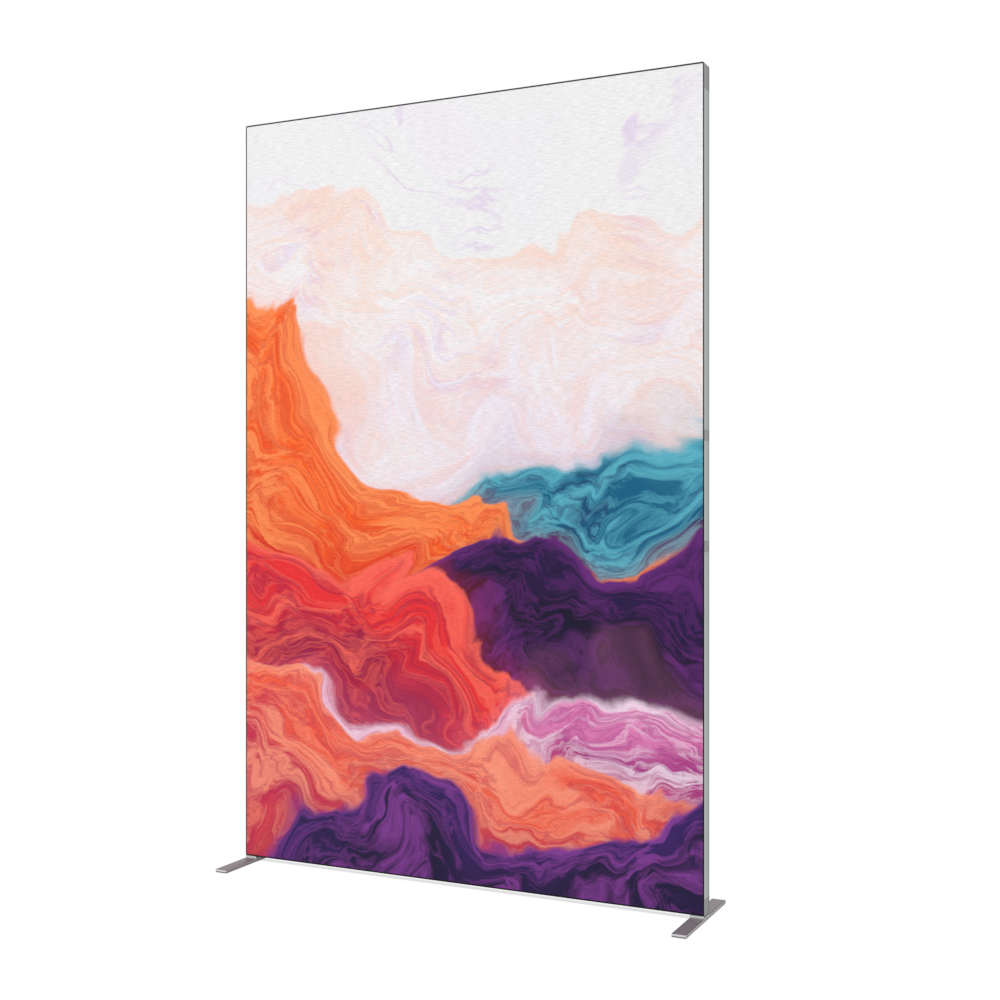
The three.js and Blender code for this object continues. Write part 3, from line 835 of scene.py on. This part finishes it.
# %% The cloth's thickness, its place on the frame and its size
thickness = cloth.modifiers.new("thickness", "SOLIDIFY")
thickness.thickness = CLOTH_THICKNESS
thickness.offset = -1
thickness.material_offset = 1
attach(cloth, "frame")
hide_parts("cloth_front")
print("cloth is", round(2 * half_width, 4), "by", round(2 * half_height, 4), "m")

# %% [markdown]
# ## Rivets and screws
# Each plug joint is held on one side by a sprung button and on the other by two blind rivets
# through the inner wall of the extrusion, and each crossbar bracket by two screws. These are 24
# small fasteners of two kinds, so Geometry Nodes place them: a point marks each one and says which
# way its head faces, and the tree puts the same head on every point. A blind rivet's head is a
# domed ring swept round its hole, with the broken pin left inside. A screw's cross recess is cut
# with a four-pointed star, which is a round bar of eight sides with every other edge drawn in.

# %% Where the fasteners sit
SPIGOT_LENGTH = 0.05
RIVET_SPREAD = 0.012
SCREW_SPREAD = 0.027
BRACKET_PLATE = 0.004


def rivet_places():
    """A place and a facing direction for each rivet, two to a riveted spigot."""
    middles = []
    for side, way in (("right", -1), ("left", 1)):
        low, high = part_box("upright_" + side + "_lower")
        face = low.x if side == "right" else high.x
        for level in ("lower", "upper"):
            joiner_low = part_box("joiner_" + side + "_" + level)[0]
            middles.append(((face, 0, joiner_low.z + SPIGOT_LENGTH / 2), (way, 0, 0)))
    for side, way in (("top", -1), ("bottom", 1)):
        low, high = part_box("rail_" + side + "_left")
        face = low.z if side == "top" else high.z
        from_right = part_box("corner_" + side + "_right")[0].x + SPIGOT_LENGTH / 2
        from_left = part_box("corner_" + side + "_left")[1].x - SPIGOT_LENGTH / 2
        joiner_low, joiner_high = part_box("joiner_" + side)
        at_joiner = joiner_high.x - SPIGOT_LENGTH / 2
        if side == "bottom":
            at_joiner = joiner_low.x + SPIGOT_LENGTH / 2
        for x in (from_right, from_left, at_joiner):
            middles.append(((x, 0, face), (0, 0, way)))
    return [((x, y, z), facing) for (x, _, z), facing in middles for y in (-RIVET_SPREAD, RIVET_SPREAD)]


def screw_places():
    """A place and a facing direction for each bracket screw, on the bracket's plate."""
    places = []
    for side, way in (("right", -1), ("left", 1)):
        low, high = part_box("crossbar_bracket_" + side)
        face = high.x - BRACKET_PLATE if side == "right" else low.x + BRACKET_PLATE
        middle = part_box("crossbar_" + side)
        level = (middle[0].z + middle[1].z) / 2
        for up in (-SCREW_SPREAD, SCREW_SPREAD):
            places.append(((face, 0, level + up), (way, 0, 0)))
    return places


rivets_at = rivet_places()
screws_at = screw_places()
print("rivets:", len(rivets_at), "screws:", len(screws_at))


# %% A tree that puts a head on every point
SHARP_ANGLE = math.radians(40)


def new_scatter(name, sizes):
    """A geometry tree with the usual sockets and the given named sizes."""
    tree = bpy.data.node_groups.new(name, "GeometryNodeTree")
    tree.interface.new_socket("Geometry", in_out="INPUT", socket_type="NodeSocketGeometry")
    for label, value in sizes.items():
        socket = tree.interface.new_socket(label, in_out="INPUT", socket_type=FLOAT)
        socket.default_value = value
    tree.interface.new_socket("Finish", in_out="INPUT", socket_type="NodeSocketMaterial")
    tree.interface.new_socket("Geometry", in_out="OUTPUT", socket_type="NodeSocketGeometry")
    return tree, tree.nodes.new("NodeGroupInput").outputs, tree.nodes.new("NodeGroupOutput").inputs


def put_on_points(tree, given, result, head):
    """Instance the head on every point, facing the point's way, and give it its finish."""
    angle = tree.nodes.new("GeometryNodeInputMeshEdgeAngle").outputs[0]
    smooth = add_node(tree, "GeometryNodeSetShadeSmooth", {"Geometry": head}, domain="FACE").outputs[0]
    inputs = {"Geometry": smooth, "Selection": maths(tree, "GREATER_THAN", angle, SHARP_ANGLE)}
    inputs["Shade Smooth"] = False
    head = add_node(tree, "GeometryNodeSetShadeSmooth", inputs, domain="EDGE").outputs[0]
    facing = add_node(tree, "GeometryNodeInputNamedAttribute", {"Name": "facing"}, data_type="FLOAT_VECTOR")
    turn = add_node(tree, "FunctionNodeAlignRotationToVector", {"Vector": facing.outputs[0]}, axis="Z")
    inputs = {"Points": given["Geometry"], "Instance": head, "Rotation": turn.outputs[0]}
    heads = add_node(tree, "GeometryNodeInstanceOnPoints", inputs).outputs[0]
    real = add_node(tree, "GeometryNodeRealizeInstances", {"Geometry": heads}).outputs[0]
    inputs = {"Geometry": real, "Material": given["Finish"]}
    fill(tree, result["Geometry"], add_node(tree, "GeometryNodeSetMaterial", inputs).outputs[0])


# %% Rivet heads
RING_STEPS = 24
DOME_STEPS = 7
PIN_SIDES = 12
PIN_SHARE = 0.95


def make_rivet_tree():
    sizes = {"Head diameter": 0.0065, "Head height": 0.0013, "Hole diameter": 0.0024}
    tree, given, result = new_scatter("blind rivets", sizes)
    outer = maths(tree, "DIVIDE", given["Head diameter"], 2.0)
    hole = maths(tree, "DIVIDE", given["Hole diameter"], 2.0)
    half = maths(tree, "DIVIDE", maths(tree, "SUBTRACT", outer, hole), 2.0)
    middle = maths(tree, "ADD", hole, half)
    path = add_node(tree, "GeometryNodeCurvePrimitiveCircle", {"Resolution": RING_STEPS, "Radius": middle})
    arc = {"Resolution": DOME_STEPS, "Radius": 1.0, "Start Angle": math.pi, "Sweep Angle": math.pi}
    dome = add_node(tree, "GeometryNodeCurveArc", arc).outputs[0]
    closed = add_node(tree, "GeometryNodeSetSplineCyclic", {0: dome, "Cyclic": True}).outputs[0]
    scale = add_node(tree, "ShaderNodeCombineXYZ", {"X": half, "Y": given["Head height"], "Z": 1.0})
    section = add_node(tree, "GeometryNodeTransform", {"Geometry": closed, "Scale": scale.outputs[0]})
    inputs = {"Curve": path.outputs[0], "Profile Curve": section.outputs[0]}
    ring_head = add_node(tree, "GeometryNodeCurveToMesh", inputs).outputs[0]
    pin_radius = maths(tree, "MULTIPLY", hole, PIN_SHARE)
    inputs = {"Vertices": PIN_SIDES, "Radius": pin_radius, "Depth": given["Head height"]}
    pin = add_node(tree, "GeometryNodeMeshCylinder", inputs).outputs[0]
    both = add_node(tree, "GeometryNodeJoinGeometry")
    tree.links.new(ring_head, both.inputs[0])
    tree.links.new(pin, both.inputs[0])
    put_on_points(tree, given, result, both.outputs[0])
    return tree


# %% Screw heads
HEAD_SIDES = 24
HEAD_TOP_SHARE = 0.72
STAR_SIDES = 8
STAR_OVERRUN = 1.2


def make_screw_tree():
    sizes = {"Head diameter": 0.0078, "Head height": 0.0022, "Recess width": 0.0044, "Recess waist": 0.0016}
    tree, given, result = new_scatter("pan head screws", sizes)
    radius = maths(tree, "DIVIDE", given["Head diameter"], 2.0)
    inputs = {"Vertices": HEAD_SIDES, "Radius Bottom": radius, "Depth": given["Head height"]}
    inputs["Radius Top"] = maths(tree, "MULTIPLY", radius, HEAD_TOP_SHARE)
    head = add_node(tree, "GeometryNodeMeshCone", inputs).outputs[0]
    deep = maths(tree, "MULTIPLY", given["Head height"], STAR_OVERRUN)
    reach = maths(tree, "DIVIDE", given["Recess width"], 2.0)
    inputs = {"Vertices": STAR_SIDES, "Radius": reach, "Depth": deep}
    cutter = add_node(tree, "GeometryNodeMeshCylinder", inputs).outputs[0]
    odd = maths(tree, "MODULO", tree.nodes.new("GeometryNodeInputIndex").outputs[0], 2.0)
    waist = maths(tree, "DIVIDE", given["Recess waist"], given["Recess width"])
    share = maths(tree, "MULTIPLY_ADD", odd, maths(tree, "SUBTRACT", waist, 1.0), 1.0)
    shares = add_node(tree, "ShaderNodeCombineXYZ", {"X": share, "Y": share, "Z": 1.0}).outputs[0]
    place = tree.nodes.new("GeometryNodeInputPosition").outputs[0]
    drawn_in = add_node(tree, "ShaderNodeVectorMath", {0: place, 1: shares}, operation="MULTIPLY").outputs[0]
    up = add_node(tree, "ShaderNodeCombineXYZ", {"Z": given["Head height"]}).outputs[0]
    inputs = {"Geometry": cutter, "Position": drawn_in, "Offset": up}
    star = add_node(tree, "GeometryNodeSetPosition", inputs).outputs[0]
    cut = add_node(tree, "GeometryNodeMeshBoolean", operation="DIFFERENCE")
    tree.links.new(head, cut.inputs["Mesh 1"])
    tree.links.new(star, cut.inputs["Mesh 2"])
    put_on_points(tree, given, result, cut.outputs[0])
    return tree


# %% Place the fasteners
def scatter(name, tree, places, finish):
    """Run a tree on a cloud of points and keep its result as a plain mesh on the frame."""
    points = bpy.data.meshes.new(name + "_points")
    points.from_pydata([place for place, _ in places], [], [])
    facing = points.attributes.new("facing", "FLOAT_VECTOR", "POINT")
    facing.data.foreach_set("vector", [value for _, way in places for value in way])
    carrier = bpy.data.objects.new(name + "_points", points)
    scene.collection.objects.link(carrier)
    modifier = carrier.modifiers.new("heads", "NODES")
    modifier.node_group = tree
    for item in tree.interface.items_tree:
        if item.in_out == "INPUT" and item.name == "Finish":
            modifier[item.identifier] = finish
    carrier.update_tag()
    evaluated = carrier.evaluated_get(bpy.context.evaluated_depsgraph_get())
    mesh = bpy.data.meshes.new_from_object(evaluated)
    mesh.name = name
    made = bpy.data.objects.new(name, mesh)
    scene.collection.objects.link(made)
    bpy.data.objects.remove(carrier)
    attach(made, "frame")
    print(name, "has", len(mesh.polygons), "faces")


scatter("rivets", make_rivet_tree(), rivets_at, zinc)
scatter("bracket_screws", make_screw_tree(), screws_at, zinc)

# %% [markdown]
# ## Floor and light
# The object stands on a plain white floor in soft studio light, as in the photograph. The floor and
# the world show white to the camera and to reflections by their own glow, so the lamps need not
# burn them out. Right under the frame the glow gives way to matt paint, so that the object still has
# its faint contact shadow there. The frame never moves, so that strip has a fixed place. The feet
# swivel, so their shadow comes from an ambient occlusion node, which finds what stands close by.

# %% Floor paint
FLOOR_SIZE = 60
MATT_PAINT = 0.8
FRAME_SHADOW = 0.42
FRAME_SHADOW_FRONT = 0.005
FRAME_SHADOW_BACK = 0.013
FRAME_SHADOW_FADE = 0.017
FOOT_SHADOW = 0.9
FOOT_SHADOW_REACH = 0.004


def seen_directly(tree):
    """1 for what the camera sees, plainly, in gloss or through glass, and 0 for light on things."""
    path = tree.nodes.new("ShaderNodeLightPath").outputs
    seen = maths(tree, "MAXIMUM", path["Is Camera Ray"], path["Is Glossy Ray"])
    return maths(tree, "MAXIMUM", seen, path["Is Transmission Ray"])


def near_box(tree, axes, low, high, fade):
    """1 over the box's footprint, easing to 0 at the fade's distance from it."""
    gaps = []
    for axis, start, stop in (("X", low.x, high.x), ("Y", low.y, high.y)):
        offset = maths(tree, "ABSOLUTE", maths(tree, "SUBTRACT", axes[axis], (start + stop) / 2))
        gaps.append(maths(tree, "MAXIMUM", maths(tree, "SUBTRACT", offset, (stop - start) / 2), 0.0))
    away = maths(tree, "SQRT", maths(tree, "ADD", *(maths(tree, "MULTIPLY", gap, gap) for gap in gaps)))
    return remap(tree, away, fade, 0.0)


def shadow_share(tree, place):
    """How far the glow gives way to paint: in a fixed strip under the frame, and by the feet."""
    low = Vector((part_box("foot_left")[1].x, FRAME_SHADOW_FRONT))
    high = Vector((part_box("foot_right")[0].x, FRAME_SHADOW_BACK))
    under = near_box(tree, split(tree, place), low, high, FRAME_SHADOW_FADE)
    under = maths(tree, "MULTIPLY", under, FRAME_SHADOW)
    reach = {"Distance": FOOT_SHADOW_REACH}
    open_share = add_node(tree, "ShaderNodeAmbientOcclusion", reach, samples=8).outputs["AO"]
    covered = maths(tree, "MULTIPLY", maths(tree, "SUBTRACT", 1.0, open_share), FOOT_SHADOW)
    return maths(tree, "MAXIMUM", under, covered)


def floor_paint():
    paint = bpy.data.materials.new("white floor")
    paint.use_nodes = True
    tree = paint.node_tree
    tree.nodes.clear()
    seen = seen_directly(tree)
    near = shadow_share(tree, add_node(tree, "ShaderNodeTexCoord").outputs["Object"])
    strength = maths(tree, "MULTIPLY", seen, maths(tree, "SUBTRACT", 1.0, near))
    glow = add_node(tree, "ShaderNodeEmission", {"Strength": strength})
    shown = maths(tree, "MULTIPLY_ADD", seen, maths(tree, "SUBTRACT", near, 1.0), 1.0)
    level = maths(tree, "MULTIPLY", shown, MATT_PAINT)
    matt = add_node(tree, "ShaderNodeBsdfDiffuse", {"Color": grey(tree, level)})
    both = add_node(tree, "ShaderNodeAddShader", {0: glow.outputs[0], 1: matt.outputs[0]})
    add_node(tree, "ShaderNodeOutputMaterial", {"Surface": both.outputs[0]})
    return paint


# %% Floor
def make_floor():
    mesh = bpy.data.meshes.new("floor")
    reach = FLOOR_SIZE / 2
    corners = [(-reach, -reach, 0), (reach, -reach, 0), (reach, reach, 0), (-reach, reach, 0)]
    mesh.from_pydata(corners, [], [(0, 1, 2, 3)])
    mesh.materials.append(floor_paint())
    made = bpy.data.objects.new("floor", mesh)
    scene.collection.objects.link(made)
    return made


make_floor()

# %% World
WORLD_LIGHT = 0.62


def make_world():
    """White where it is seen directly, and a weaker light on the object."""
    world = bpy.data.worlds.new("studio")
    world.use_nodes = True
    tree = world.node_tree
    tree.nodes.clear()
    strength = maths(tree, "MULTIPLY_ADD", seen_directly(tree), 1.0 - WORLD_LIGHT, WORLD_LIGHT)
    background = add_node(tree, "ShaderNodeBackground", {"Color": (1, 1, 1, 1), "Strength": strength})
    add_node(tree, "ShaderNodeOutputWorld", {"Surface": background.outputs[0]})
    scene.world = world


make_world()

# %% Lamps
# A name, a place, a size, a power and whether gloss shows the lamp. The back lamp stands so low
# that it would show as a bright patch on the feet.
LAMPS = [
    ("key lamp", (-1.2, -5.5, 3.6), 5.0, 156, True),
    ("side lamp", (5.0, -0.6, 2.4), 3.0, 60, True),
    ("back lamp", (-2.2, 5.2, 1.9), 2.5, 120, False),
]
AIM = Vector((0, 0, 1.1))

for name, place, size, power, in_gloss in LAMPS:
    data = bpy.data.lights.new(name, "AREA")
    data.size = size
    data.energy = power
    lamp = bpy.data.objects.new(name, data)
    lamp.location = place
    lamp.rotation_euler = (AIM - Vector(place)).to_track_quat("-Z", "Y").to_euler()
    lamp.visible_glossy = in_gloss
    scene.collection.objects.link(lamp)
print("lamps:", [row[0] for row in LAMPS])
